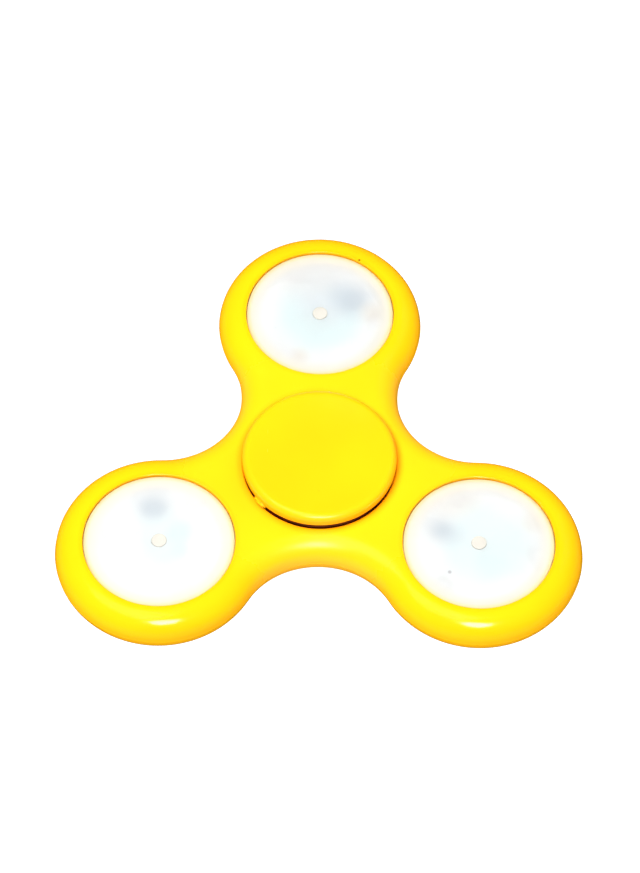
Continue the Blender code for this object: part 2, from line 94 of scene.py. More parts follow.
# Steps of round shapes.
FINE = 192
ROUND = 96
SMALL = 48
LOBE_STEPS = 96
FILLET_STEPS = 48
EDGE_STEPS = 36
CURVE_STEPS = 24
WELD = 1e-7
CUT = 1 * MM  # how far a cutter runs past what it cuts
SHARP = 35.0  # edges sharper than this, in degrees, stay sharp
CAP_SHARP = 50.0
OVER = Matrix.Rotation(math.pi, 4, "X")  # turns a front part over to make the rear one

# Body.
EDGE_WIDTH = 3.6 * MM  # how far the rounded edge reaches in from the outline
SEAM_HEIGHT = 0.03 * MM  # the mould's parting line, a faint ridge round the middle
SEAM_HALF_WIDTH = 0.07 * MM
HUB_LIP = 0.4 * MM  # the hub bore's lip, that far across
HUB_LIP_DEPTH = 0.75 * MM
HUB_CLEARANCE = 0.05 * MM
POCKET_RADIUS = 11.0 * MM
POCKET_LIP = 0.2 * MM
LEDGE_RADIUS = 10.0 * MM
LEDGE_HALF = 1.4 * MM  # half the thickness of the ledge in each pocket
CORNER = 0.15 * MM
HANDLED_RADIUS = 17.0 * MM  # fingers have dulled the body about this far out
HANDLED_FADE = 8.0 * MM
PAINTED_SHADE_REACH = 0.3 * MM  # painted shade round the caps and the lenses, reaching this far out from each hole
HUB_PAINTED_SHADE = (1.3 * MM, 0.7)  # its fade and strength
POCKET_PAINTED_SHADE = (0.5 * MM, 0.2)
# the colour of the painted shade, as a share of the body's colour
PAINTED_SHADE_TINT = (1.0, 0.6, 0.3)
RIM_SPECK = (5.88 * MM, 36.2 * MM)  # a speck of dirt on the rim by lens 1
RIM_SPECK_RADIUS = 0.12 * MM
RIM_SPECK_TINT = (0.16, 0.22, 0.4)

# Finger caps.
CAP_EDGE = 1.0 * MM
DISH_DEPTH = 0.9 * MM
CAP_UNDERSIDE = 4.2 * MM
SHOULDER_RADIUS = 5.6 * MM
SHOULDER_CLEARANCE = 0.05 * MM
STUB_RADIUS = 3.95 * MM
STUB_CHAMFER = 0.4 * MM
STUB_BORE = 2.5 * MM
STUB_BORE_CHAMFER = 0.2 * MM
NIB_ANGLE = 220.0  # the torn-off gate on the front cap's rim
NIB_SIZE = (0.34 * MM, 1.05 * MM, 0.34 * MM)
NIB_HEIGHT = 4.12 * MM

# Bearing.
BEARING_BORE = 4.0 * MM
RING_CHAMFER = 0.3 * MM
BALL_PITCH = 7.5 * MM
GROOVE_RADIUS = 2.08 * MM
INNER_LAND = 6.05 * MM
OUTER_LAND = 8.95 * MM
SHIELD_SEAT = 9.6 * MM
SHIELD_SEAT_DEPTH = 0.7 * MM
SHIELD_STEP = 0.12 * MM
SHIELD_THICKNESS = 0.2 * MM
CAGE_INNER = 6.75 * MM
CAGE_OUTER = 8.25 * MM
CAGE_POCKET = 2.15 * MM

# Light modules.
COVER_RADIUS = 10.93 * MM
COVER_EDGE = 0.15 * MM
COVER_WALL = 1.0 * MM
COVER_FILLET = 0.3 * MM  # where a cover's spigot meets the inside of its disc
BACK_WALL = 1.2 * MM
LENS_CROWN = 0.1 * MM  # how far the lens rises from its rim to its hole
LEDGE_GAP = 0.1 * MM  # between the ledge and the cover's flange
SPIGOT_OUTER = 9.85 * MM
SPIGOT_INNER = 9.15 * MM
BUTTON_HOLE = 1.11 * MM
BUTTON_HOLE_EDGE = 0.03 * MM
BUTTON_RADIUS = 1.1 * MM
BUTTON_EDGE = 0.12 * MM
BUTTON_FLANGE = 1.5 * MM
BOSS_PITCH = 8.4 * MM
BOSS_RADIUS = 1.4 * MM
BOSS_ANGLES = (-40, 80, 200)
BOSS_END = 0.05 * MM  # how far a boss stops short of the middle height
BOSS_OVERLAP = 0.3 * MM  # how far it reaches into its cover's disc
SCREW_HOLE = 0.8 * MM
COUNTERBORE = 1.32 * MM
COUNTERBORE_DEPTH = 0.75 * MM
SCREW_RADIUS = 0.7 * MM
SCREW_HEAD = 1.2 * MM
THREAD_DEPTH = 0.12 * MM
THREAD_PITCH = 0.4 * MM
CLIP_ANGLE = 140  # of the coin cell's contact clip, from the chip

# Patterns: a noise's usual low and high values, close in and wide.
NARROW = (0.35, 0.65)
WIDE = (0.3, 0.7)

# What shows through each lens. Yellow light from the pocket wall is painted onto its edge, and more strongly
# onto its last millimetre.
EDGE_PAINTED_LIGHT_START = 8.2 * MM
EDGE_PAINTED_LIGHT = (1.05, 0.99, 0.82)
RIM_PAINTED_LIGHT_START = 10.1 * MM
RIM_PAINTED_LIGHT = (1.04, 0.9, 0.42)

# The parts behind a lens tint it in patches. Each is (x, y, radius, softness, strength, tint), in mm from the
# module's middle along the body's X and Y. Their outlines wander a little.
PATCH_WANDER = 2.6 * MM
BOARD = (0.85, 0.97, 0.98)
CHIP = (0.66, 0.73, 0.8)
SHADE = (0.88, 0.9, 0.94)
BROWN = (0.92, 0.85, 0.77)
SPECK = (0.35, 0.3, 0.35)
PATCHES = {
    1: [
        (-0.4, -0.8, 4.2, 3.6, 0.85, BOARD),
        (0.6, 3.6, 2.0, 5.0, 0.7, SHADE),
        (4.9, 2.4, 0.1, 4.6, 0.5, CHIP),
        (5.0, 2.6, 0.1, 2.6, 0.35, CHIP),
        (3.0, 3.8, 0.2, 3.4, 0.3, CHIP),
        (-1.0, 7.6, 2.0, 4.4, 0.2, BROWN),
        (8.2, 0.2, 0.2, 2.6, 0.6, BROWN),
        (-3.0, -7.6, 0.2, 2.4, 0.7, BROWN),
        (-6.6, -2.6, 0.1, 0.6, 0.2, SPECK),
    ],
    2: [
        (0.4, 0.6, 2.6, 3.4, 0.45, BOARD),
        (2.7, 1.4, 0.5, 2.6, 0.9, BOARD),
        (3.2, -1.4, 0.2, 1.8, 0.7, BOARD),
        (-1.1, 5.4, 0.1, 4.2, 0.5, CHIP),
        (-1.1, 5.5, 0.1, 2.4, 0.4, CHIP),
    ],
    3: [
        (0.8, -0.4, 4.6, 3.6, 0.6, BOARD),
        (1.6, -3.2, 0.8, 2.6, 0.6, BOARD),
        (-5.1, 2.0, 0.1, 4.4, 0.55, CHIP),
        (-5.2, 2.0, 0.1, 2.6, 0.35, CHIP),
        (-3.4, 7.2, 1.6, 3.6, 0.3, BROWN),
        (7.8, 3.4, 0.2, 2.2, 0.4, BROWN),
        (-4.3, -4.9, 0.05, 0.25, 0.55, SPECK),
    ],
}


# ---- Mesh helpers ----


def from_bm(bm, name, sharp=SHARP):
    """Closes up bm into a mesh that is smooth except across edges sharper than that angle."""
    bmesh.ops.remove_doubles(bm, verts=bm.verts, dist=WELD)
    bmesh.ops.recalc_face_normals(bm, faces=bm.faces)
    mesh = bpy.data.meshes.new(name)
    bm.to_mesh(mesh)
    bm.free()
    mesh.shade_smooth()
    mesh.set_sharp_from_angle(angle=math.radians(sharp))
    return mesh


def arc(centre_r, centre_z, radius, start, end, steps=6):
    """Points (radius, height) along an arc of a profile. start and end are in degrees."""
    angles = [math.radians(start + (end - start) * i / steps) for i in range(steps + 1)]
    return [(centre_r + radius * math.cos(a), centre_z + radius * math.sin(a)) for a in angles]


def turned_bm(profile, segments=ROUND):
    """A solid of revolution about Z from a profile of points (radius, height)."""
    bm = bmesh.new()
    verts = [bm.verts.new((r, 0, z)) for r, z in profile]
    edges = [bm.edges.new(pair) for pair in zip(verts, verts[1:])]
    if profile[0][0] > 0 or profile[-1][0] > 0:
        edges.append(bm.edges.new((verts[-1], verts[0])))
    bmesh.ops.spin(
        bm, geom=verts + edges, cent=(0, 0, 0), axis=(0, 0, 1), angle=math.tau, steps=segments, use_merge=True
    )
    return bm


def cylinder_bm(radius, bottom, top, segments=SMALL):
    return turned_bm([(0, bottom), (radius, bottom), (radius, top), (0, top)], segments)


def box_bm(low, high, bevel=0.0, steps=3):
    """A box between two corners, with its edges rounded if bevel is given."""
    bm = bmesh.new()
    size = Vector(high) - Vector(low)
    middle = (Vector(high) + Vector(low)) / 2
    bmesh.ops.create_cube(bm, size=1, matrix=Matrix.Translation(middle) @ Matrix.Diagonal((*size, 1)))
    if bevel:
        bmesh.ops.bevel(bm, geom=bm.edges[:], offset=bevel, segments=steps, profile=0.5, affect="EDGES")
    return bm


def polar(radius, degrees, height=0.0):
    """The point at that radius from the axis and that angle from +X."""
    angle = math.radians(degrees)
    return Vector((radius * math.cos(angle), radius * math.sin(angle), height))


def spread(make_bm, places):
    """One bmesh holding a copy of make_bm() at each matrix in places."""
    whole = bmesh.new()
    for place in places:
        part = make_bm()
        bmesh.ops.transform(part, matrix=place, verts=part.verts)
        loose = bpy.data.meshes.new("part")
        part.to_mesh(loose)
        part.free()
        whole.from_mesh(loose)
        bpy.data.meshes.remove(loose)
    return whole


def combined(mesh, *steps, sharp=SHARP):
    """mesh after each Boolean in steps, a list of (operation, bmesh)."""
    base = bpy.data.objects.new("base", mesh)
    bpy.context.scene.collection.objects.link(base)
    tools = []
    for operation, bm in steps:
        tool = bpy.data.objects.new("tool", from_bm(bm, "tool"))
        bpy.context.scene.collection.objects.link(tool)
        tools.append(tool)
        modifier = base.modifiers.new(operation, "BOOLEAN")
        modifier.operation = operation
        modifier.object = tool
    bpy.context.view_layer.update()
    made = bpy.data.meshes.new_from_object(base.evaluated_get(bpy.context.evaluated_depsgraph_get()))
    made.name = mesh.name
    for obj in [base, *tools]:
        bpy.data.objects.remove(obj, do_unlink=True)
    made.shade_smooth()
    made.set_sharp_from_angle(angle=math.radians(sharp))
    return made


def piece(name, mesh, finish, body, replaced, place=None, weighted=False):
    """Adds mesh as a piece that rides on a CAD body and stands for the CAD nodes in replaced."""
    obj = bpy.data.objects.new(name, mesh)
    bpy.context.scene.collection.objects.link(obj)
    if not mesh.materials:
        mesh.materials.append(finish)
    if place:
        obj.matrix_world = place
    if weighted:
        modifier = obj.modifiers.new("flat faces stay flat", "WEIGHTED_NORMAL")
        modifier.keep_sharp = True
    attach(obj, body)
    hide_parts(*replaced)
    return obj


# ---- Materials ----


class Finish:
    """A Principled material, with short ways to drive it from patterns in the object's own space."""

    def __init__(self, name, colour, constants):
        self.material = bpy.data.materials.new(name)
        self.material.use_nodes = True
        self.tree = self.material.node_tree
        self.shader = self.tree.nodes["Principled BSDF"]
        self.shader.inputs["Base Color"].default_value = (*colour, 1)
        for socket, value in constants.items():
            self.shader.inputs[socket].default_value = value
        self.place = self.node("ShaderNodeTexCoord").outputs["Object"]

    def node(self, kind, inputs=None, **settings):
        made = self.tree.nodes.new(kind)
        for key, value in settings.items():
            setattr(made, key, value)
        for socket, value in (inputs or {}).items():
            if isinstance(value, bpy.types.NodeSocket):
                self.tree.links.new(value, made.inputs[socket])
            else:
                made.inputs[socket].default_value = value
        return made

    def feed(self, socket, value):
        """Drives one of the shader's own sockets."""
        self.tree.links.new(value, self.shader.inputs[socket])

    def stretched(self, scale):
        """The object's coordinates, scaled along each axis."""
        return self.node("ShaderNodeMapping", {"Vector": self.place, "Scale": scale}).outputs["Vector"]

    def noise(self, scale, detail=4.0, where=None, offset=0.0):
        inputs = {"Vector": where or self.place, "Scale": scale, "Detail": detail, "W": offset}
        return self.node("ShaderNodeTexNoise", inputs, noise_dimensions="4D").outputs["Fac"]

    def ranged(self, value, low, high, start, end):
        """value, from low to high, mapped to start to end and held there."""
        inputs = {"Value": value, "From Min": low, "From Max": high, "To Min": start, "To Max": end}
        return self.node("ShaderNodeMapRange", inputs).outputs["Result"]

    def maths(self, operation, first, second=0.0):
        return self.node("ShaderNodeMath", {0: first, 1: second}, operation=operation).outputs[0]

    def blended(self, share, first, second):
        """A colour from first, where share is 0, to second, where it is 1."""
        made = self.node("ShaderNodeMix", {0: share}, data_type="RGBA")
        for socket, value in ((6, first), (7, second)):
            if isinstance(value, bpy.types.NodeSocket):
                self.tree.links.new(value, made.inputs[socket])
            else:
                made.inputs[socket].default_value = (*value, 1)
        return made.outputs[2]

    def spot(self, centre, radius, softness, wander=None):
        """1 within radius of centre, seen along Z, falling to 0 over softness beyond it."""
        flat = self.stretched((1, 1, 0))
        inputs = {0: flat, 1: (centre[0], centre[1], 0)}
        away = self.node("ShaderNodeVectorMath", inputs, operation="DISTANCE").outputs["Value"]
        if wander:
            away = self.maths("ADD", away, wander)
        inputs = {"Value": away, "From Min": radius, "From Max": radius + softness, "To Min": 1, "To Max": 0}
        made = self.node("ShaderNodeMapRange", inputs, interpolation_type="SMOOTHSTEP")
        return made.outputs["Result"]

    def bump(self, *layers):
        """Bumps from (height, distance in metres) layers, the coarsest first."""
        normal = None
        for height, distance in layers:
            inputs = {"Height": height, "Distance": distance}
            if normal:
                inputs["Normal"] = normal
            normal = self.node("ShaderNodeBump", inputs).outputs["Normal"]
        self.feed("Normal", normal)

    def specks(self, scale, size):
        """1 on rare round specks: size is a speck's radius as a share of the cells' spacing."""
        cells = self.node("ShaderNodeTexVoronoi", {"Vector": self.place, "Scale": scale})
        near = self.maths("LESS_THAN", cells.outputs["Distance"], size)
        pick = self.node("ShaderNodeSeparateColor", {"Color": cells.outputs["Color"]}).outputs[0]
        return self.maths("MULTIPLY", near, self.maths("GREATER_THAN", pick, 0.82))

    def scratches(self, turn, scale):
        """Thin hairlines about one direction, turned by turn degrees about Z."""
        rotation = (0, 0, math.radians(turn))
        inputs = {"Vector": self.place, "Rotation": rotation, "Scale": (scale, scale / 60, scale / 60)}
        where = self.node("ShaderNodeMapping", inputs).outputs["Vector"]
        lines = self.noise(1.0, 2.0, where, turn)
        return self.ranged(lines, 0.66, 0.74, 0.0, 1.0)


def scaled(colour, tint):
    return tuple(c * t for c, t in zip(colour, tint))


def shades(colour, darker, lighter):
    """Two colours, scaled down and up from colour."""
    return tuple(c * darker for c in colour), tuple(min(1.0, c * lighter) for c in colour)


def with_painted_shade_and_speck(made, tone, colour):
    """tone with painted shade round the caps and the lenses, and one dark speck of dirt."""
    places = [(Vector((0, 0, 0)), HUB_PAINTED_SHADE)]
    places += [(module_centre(number), POCKET_PAINTED_SHADE) for number in range(1, LOBES + 1)]
    # Painted shade: a darker, more orange ring just outside the hub and each pocket, where the lip lies in
    # shade.
    for middle, (fade, strength) in places:
        ring = made.spot(middle, POCKET_RADIUS + PAINTED_SHADE_REACH, fade)
        tone = made.blended(made.maths("MULTIPLY", ring, strength), tone, scaled(colour, PAINTED_SHADE_TINT))
    speck = made.spot(RIM_SPECK, RIM_SPECK_RADIUS, RIM_SPECK_RADIUS)
    return made.blended(speck, tone, scaled(colour, RIM_SPECK_TINT))


def moulded_plastic(name, colour, roughness, handled=0.0, painted_shade_and_speck=False):
    """Glossy injection-moulded ABS: flow marks, a slight orange peel, hairlines and a little dust.

    handled is how much rougher fingers have made it round the hub. The last argument adds painted shade round
    the caps and the lenses, and one dark speck of dirt.
    """
    made = Finish(name, colour, {"Roughness": roughness, "IOR": 1.5, "Specular IOR Level": 0.42})
    flow = made.noise(55.0, 3.0, made.stretched((1, 1, 3)))
    low, high = shades(colour, 0.95, 1.04)
    tone = made.blended(made.ranged(flow, *NARROW, 0, 1), low, high)
    dust = made.specks(420.0, 0.045)
    tone = made.blended(made.maths("MULTIPLY", dust, 0.3), tone, (0.5, 0.24, 0.01))
    # Painted shade round the holes, and one speck of dirt.
    if painted_shade_and_speck:
        tone = with_painted_shade_and_speck(made, tone, colour)
    made.feed("Base Color", tone)
    hairs = made.maths("MAXIMUM", made.scratches(28, 3200.0), made.scratches(-52, 2700.0))
    grain = made.noise(900.0, 5.0)
    shine = made.ranged(grain, *WIDE, roughness - 0.02, roughness + 0.015)
    worn = made.maths("MULTIPLY", hairs, 0.02)
    grip = made.maths("MULTIPLY", made.spot((0, 0), HANDLED_RADIUS, HANDLED_FADE), handled)
    made.feed("Roughness", made.maths("ADD", made.maths("ADD", shine, worn), grip))
    peel = made.noise(420.0, 2.0)
    texture = made.noise(2600.0, 3.0)
    made.bump((peel, 3e-6), (texture, 0.4e-6), (hairs, -0.15e-6))
    return made.material


def showing_through(made, tone, colour, number):
    """tone with what lens number shows of the parts behind it, softly, in its module's frame, and with
    painted yellow light from the pocket wall at its edge.
    """
    turn = module_place(number).to_3x3().inverted()
    warp = made.noise(140.0, 1.0, offset=number)
    wander = made.maths("MULTIPLY", made.maths("SUBTRACT", warp, 0.5), PATCH_WANDER)
    for x, y, radius, softness, strength, tint in PATCHES[number]:
        centre = turn @ Vector((x, y, 0)) * MM
        patch = made.spot(centre, radius * MM, softness * MM, wander)
        tone = made.blended(made.maths("MULTIPLY", patch, strength), tone, scaled(colour, tint))
    # Painted light: yellow from the pocket wall, over the lens's edge and more over its last millimetre.
    for start, tint in ((EDGE_PAINTED_LIGHT_START, EDGE_PAINTED_LIGHT), (RIM_PAINTED_LIGHT_START, RIM_PAINTED_LIGHT)):
        middle = made.spot((0, 0), start, COVER_RADIUS - start)
        tone = made.blended(middle, scaled(colour, tint), tone)
    return tone


def frosted_plastic(name, colour, transmission, lens=None):
    """Milky polystyrene with a fine spark-eroded texture. Light comes through it, blurred.

    lens is the number of the lens that it is for, and None for a back cover.
    """
    constants = {"Roughness": 0.5, "IOR": 1.45, "Transmission Weight": transmission}
    made = Finish(name, colour, constants)
    cloud = made.noise(160.0, 3.0)
    low, high = shades(colour, 0.98, 1.02)
    tone = made.blended(made.ranged(cloud, *NARROW, 0, 1), low, high)
    if lens:
        tone = showing_through(made, tone, colour, lens)
    dust = made.specks(300.0, 0.04)
    tone = made.blended(made.maths("MULTIPLY", dust, 0.3), tone, (0.35, 0.3, 0.35))
    made.feed("Base Color", tone)
    grain = made.noise(3800.0, 4.0)
    made.feed("Roughness", made.ranged(grain, *WIDE, 0.44, 0.56))
    made.bump((made.noise(500.0, 2.0), 4e-6), (grain, 5e-6))
    return made.material


def ground_steel(name, colour, roughness, turned=True):
    """Ground or pressed steel with a stain or two. Its fine marks run round Z if it is turned."""
    made = Finish(name, colour, {"Metallic": 1.0, "Roughness": roughness})
    where = made.stretched((600, 600, 14000) if turned else (9000, 9000, 9000))
    marks = made.noise(1.0, 3.0, where)
    stain = made.noise(240.0, 4.0)
    low, high = shades(colour, 0.82, 1.08)
    made.feed("Base Color", made.blended(made.ranged(stain, *WIDE, 0, 1), low, high))
    made.feed("Roughness", made.ranged(marks, *WIDE, roughness - 0.06, roughness + 0.12))
    made.bump((marks, 1.5e-6))
    return made.material


def soft_plastic(name, colour, roughness):
    """Plain satin plastic, such as acetal or nylon, with a fine mould grain."""
    made = Finish(name, colour, {"Roughness": roughness})
    low, high = shades(colour, 0.93, 1.05)
    cloud = made.noise(300.0, 4.0)
    made.feed("Base Color", made.blended(made.ranged(cloud, *WIDE, 0, 1), low, high))
    grain = made.noise(5000.0, 3.0)
    made.feed("Roughness", made.ranged(grain, *WIDE, roughness - 0.08, roughness + 0.1))
    made.bump((grain, 3e-6))
    return made.material


def circuit_board(name, colour):
    """Solder mask over glass cloth: a faint weave, and tracks that show as slightly raised lines."""
    made = Finish(name, colour, {"Roughness": 0.35})
    weave = made.node("ShaderNodeTexChecker", {"Vector": made.place, "Scale": 2600.0}).outputs["Fac"]
    inputs = {"Vector": made.stretched((1, 1, 0)), "Scale": 210.0, "Distortion": 6.0, "Detail": 1.0}
    rings = made.node("ShaderNodeTexWave", inputs, wave_type="RINGS", rings_direction="SPHERICAL")
    tracks = made.ranged(rings.outputs["Fac"], 0.86, 0.9, 0.0, 1.0)
    cloth = made.blended(made.maths("MULTIPLY", weave, 0.15), colour, scaled(colour, (0.8, 0.8, 0.8)))
    copper = made.maths("MULTIPLY", tracks, 0.5)
    made.feed("Base Color", made.blended(copper, cloth, scaled(colour, (0.75, 0.75, 0.75))))
    made.bump((tracks, 2e-5), (weave, 2e-6))
    return made.material


def make_materials():
    yellow = (0.95, 0.45, 0.0035)
    warm_yellow = (0.95, 0.422, 0.003)
    milk = (0.765, 0.775, 0.77)
    return {
        # The body gets painted shade round its holes.
        "body": moulded_plastic("yellow_abs_body", yellow, 0.14, handled=0.18, painted_shade_and_speck=True),
        "cap": moulded_plastic("yellow_abs_cap", warm_yellow, 0.25),
        "lens_1": frosted_plastic("frosted_lens_1", milk, 0.45, 1),
        "lens_2": frosted_plastic("frosted_lens_2", milk, 0.45, 2),
        "lens_3": frosted_plastic("frosted_lens_3", milk, 0.45, 3),
        "back_cover": frosted_plastic("frosted_back_cover", milk, 0.4),
        # Painted shade: the outer ring's steel is darkened to stand for the shade in the gap under the cap.
        "outer_race": ground_steel("steel_painted_dark_as_shade", (0.12, 0.035, 0.012), 0.6),
        "bearing_steel": ground_steel("bearing_steel", (0.55, 0.54, 0.53), 0.24),
        "bearing_shield": ground_steel("pressed_shield_steel", (0.5, 0.5, 0.51), 0.34, turned=False),
        "bearing_ball": ground_steel("polished_ball_steel", (0.68, 0.68, 0.7), 0.08, turned=False),
        "spring_steel": ground_steel("stamped_spring_steel", (0.58, 0.57, 0.54), 0.3, turned=False),
        "cell": ground_steel("nickel_plated_can", (0.62, 0.61, 0.58), 0.28, turned=False),
        "screw": ground_steel("zinc_plated_screw", (0.42, 0.42, 0.43), 0.35),
        "cage": soft_plastic("natural_nylon", (0.72, 0.68, 0.56), 0.5),
        "button": soft_plastic("ivory_acetal", (0.485, 0.465, 0.415), 0.42),
        "switch": soft_plastic("black_switch_plastic", (0.025, 0.025, 0.03), 0.45),
        "chip": soft_plastic("black_epoxy_drop", (0.02, 0.02, 0.028), 0.3),
        "led": soft_plastic("led_package", (0.86, 0.83, 0.72), 0.35),
        "board": circuit_board("pale_circuit_board", (0.62, 0.86, 0.9)),
    }


# ---- Body ----


def outline(inset, pitch, lobe_radius):
    """The body's outline moved in by inset, as points at height 0, anticlockwise."""
    fillet_radius = pitch - lobe_radius
    points = []
    for lobe in range(LOBES):
        middle = 90 + lobe * 360 / LOBES
        centre = polar(pitch, middle)
        for i in range(LOBE_STEPS):
            points.append(centre + polar(lobe_radius - inset, middle - 120 + 240 * i / LOBE_STEPS))
        centre = polar(pitch, middle + 60)
        for i in range(FILLET_STEPS):
            points.append(centre + polar(fillet_radius + inset, middle - 60 - 120 * i / FILLET_STEPS))
    return points


def edge_rows(half):
    """(inset, height) of each ring round the edge, bottom to top: half an ellipse with a parting line."""
    rows = []
    for step in range(EDGE_STEPS + 1):
        rise = math.radians(-90 + 180 * step / EDGE_STEPS)
        if step == EDGE_STEPS // 2:
            rows += [(0, -SEAM_HALF_WIDTH), (-SEAM_HEIGHT, 0), (0, SEAM_HALF_WIDTH)]
        else:
            rows.append((EDGE_WIDTH * (1 - math.cos(rise)), half * math.sin(rise)))
    return rows


def bridge(bm, rings):
    """Joins each ring of vertices to the next with quads."""
    for low, high in zip(rings, rings[1:]):
        for i in range(len(low)):
            after = (i + 1) % len(low)
            bm.faces.new((low[i], low[after], high[after], high[i]))


def flat_face(bm, outer, holes, up):
    """Fills the flat region inside the ring outer and outside the rings in holes with triangles."""
    verts = outer + [v for hole in holes for v in hole]
    edges = []
    start = 0
    for ring in [outer, *holes]:
        edges += [(start + i, start + (i + 1) % len(ring)) for i in range(len(ring))]
        start += len(ring)
    flat = [v.co.xy for v in verts]
    gaps = []
    for hole in holes:
        middle = sum((v.co.xy for v in hole), Vector((0, 0))) / len(hole)
        gaps.append((middle, (hole[0].co.xy - middle).length))
    triangles = geometry.delaunay_2d_cdt(flat, edges, [], 1, WELD / 10)[2]
    for corners in triangles:
        centre = sum((flat[i] for i in corners), Vector((0, 0))) / 3
        if all((centre - middle).length > radius for middle, radius in gaps):
            bm.faces.new([verts[i] for i in (corners if up else reversed(corners))])


def bore(bm, centre, upper, segments):
    """The wall of a hole through the body, from its upper half's profile. Returns its end rings."""
    profile = upper + [(r, -z) for r, z in reversed(upper)]
    rings = []
    for radius, height in profile:
        turns = [polar(radius, 360 * i / segments, height) for i in range(segments)]
        rings.append([bm.verts.new(centre + t) for t in turns])
    bridge(bm, rings)
    return rings[0], rings[-1]


def hub_wall(half, radius):
    """The hub bore's upper half: its lip, a quarter of an ellipse."""
    quarter = arc(radius + HUB_LIP, 0, HUB_LIP, 90, 180)
    return [(r, half + (z - HUB_LIP) * HUB_LIP_DEPTH / HUB_LIP) for r, z in quarter]


def pocket_wall(half):
    """A pocket's upper half: a rounded lip, the wall, and the ledge that the two covers close over."""
    points = arc(POCKET_RADIUS + POCKET_LIP, half - POCKET_LIP, POCKET_LIP, 90, 180)
    points += arc(POCKET_RADIUS - CORNER, LEDGE_HALF + CORNER, CORNER, 0, -90, 3)
    points += arc(LEDGE_RADIUS + CORNER, LEDGE_HALF - CORNER, CORNER, 90, 180, 3)
    return points


def body_mesh(pitch, lobe_radius, half, hub_radius):
    """The body, from -half to half, with its lobes' middles at pitch from the axis."""
    bm = bmesh.new()
    rings = []
    for inset, height in edge_rows(half):
        points = outline(inset, pitch, lobe_radius)
        rings.append([bm.verts.new((p.x, p.y, height)) for p in points])
    bridge(bm, rings)
    ends = [bore(bm, Vector((0, 0, 0)), hub_wall(half, hub_radius), FINE)]
    for lobe in range(LOBES):
        ends.append(bore(bm, polar(pitch, 90 + lobe * 360 / LOBES), pocket_wall(half), FINE))
    flat_face(bm, rings[-1], [top for top, bottom in ends], True)
    flat_face(bm, rings[0], [bottom for top, bottom in ends], False)
    return from_bm(bm, "body_shell")


def make_body(looks):
    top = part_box("spinner_body")[1]
    pitch = module_centre(1).length
    hub_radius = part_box("bearing_outer_ring")[1].x + HUB_CLEARANCE
    mesh = body_mesh(pitch, top.y - pitch, top.z, hub_radius)
    piece("body_shell", mesh, looks["body"], "spinner", ["spinner_body"], weighted=True)


# ---- Finger caps ----


def cap_profile():
    """Front cap, from the dish's middle out over the rim, under the disc and down the hollow stub."""
    low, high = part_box("finger_cap_front")
    radius, top, end = high.x, high.z, low.z
    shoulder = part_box("bearing_inner_ring")[1].z + SHOULDER_CLEARANCE
    rim = radius - CAP_EDGE
    slope = math.degrees(math.atan(2 * DISH_DEPTH / rim))
    edge = arc(rim, top - CAP_EDGE, CAP_EDGE, 90 + slope, 0, 18)
    dish_radius, dish_top = edge[0]
    floor = top - DISH_DEPTH
    dish = []
    for i in range(CURVE_STEPS):
        share = i / CURVE_STEPS
        dish.append((dish_radius * share, floor + (dish_top - floor) * share**2))
    under, fillet = 0.2 * MM, 0.3 * MM
    points = dish + edge
    points += arc(radius - under, CAP_UNDERSIDE + under, under, 0, -90, 4)
    points += arc(SHOULDER_RADIUS + fillet, CAP_UNDERSIDE - fillet, fillet, 90, 180, 4)
    points += [(SHOULDER_RADIUS, shoulder), (STUB_RADIUS, shoulder)]
    points += [(STUB_RADIUS, end + STUB_CHAMFER), (STUB_RADIUS - STUB_CHAMFER, end)]
    points += [(STUB_BORE + STUB_BORE_CHAMFER, end), (STUB_BORE, end + STUB_BORE_CHAMFER)]
    points += arc(STUB_BORE - fillet, CAP_UNDERSIDE - fillet, fillet, 0, 90, 4)
    points += [(0, CAP_UNDERSIDE)]
    return points


def nib_bm(radius):
    """The rough stub of plastic left on the rim where the cap was twisted off its runner."""
    bm = bmesh.new()
    bmesh.ops.create_icosphere(bm, subdivisions=4, radius=1)
    for vert in bm.verts:
        lumps = noise.noise(vert.co * 2.1)
        grains = noise.noise(vert.co * 6.3)
        rough = 1 + 0.35 * lumps + 0.12 * grains
        vert.co = Vector(c * rough * s for c, s in zip(vert.co, NIB_SIZE))
    place = Matrix.Translation(polar(radius, NIB_ANGLE, NIB_HEIGHT))
    bmesh.ops.transform(bm, matrix=place @ Matrix.Rotation(math.radians(NIB_ANGLE), 4, "Z"), verts=bm.verts)
    return bm


def make_caps(looks):
    profile = cap_profile()
    radius = max(r for r, z in profile)
    rear = from_bm(turned_bm(profile, FINE), "cap_rear_shell", CAP_SHARP)
    front = from_bm(turned_bm(profile, FINE), "cap_front_shell")
    front = combined(front, ("UNION", nib_bm(radius)), sharp=CAP_SHARP)
    piece("cap_front_shell", front, looks["cap"], "finger_caps", ["finger_cap_front"])
    piece("cap_rear_shell", rear, looks["cap"], "finger_caps", ["finger_cap_rear"], OVER)


# ---- Bearing ----


def raceway(land, side):
    """The groove's arc on the ring whose land has that radius. side is 1 outside the balls."""
    reach = math.degrees(math.acos(abs(land - BALL_PITCH) / GROOVE_RADIUS))
    if side > 0:
        return arc(BALL_PITCH, 0, GROOVE_RADIUS, reach, -reach, 16)
    return arc(BALL_PITCH, 0, GROOVE_RADIUS, 180 + reach, 180 - reach, 16)


def outer_ring_mesh(radius, half):
    """The outer ring, with seats for the shields beside its groove."""
    seat = half - SHIELD_SEAT_DEPTH
    edge = RING_CHAMFER
    points = arc(radius - edge, edge - half, edge, -90, 0, 5)
    points += arc(radius - edge, half - edge, edge, 0, 90, 5)
    points += [(SHIELD_SEAT, half), (SHIELD_SEAT, seat), (OUTER_LAND, seat)]
    points += raceway(OUTER_LAND, 1)
    points += [(OUTER_LAND, -seat), (SHIELD_SEAT, -seat), (SHIELD_SEAT, -half)]
    return from_bm(turned_bm(points, FINE), "outer_race")


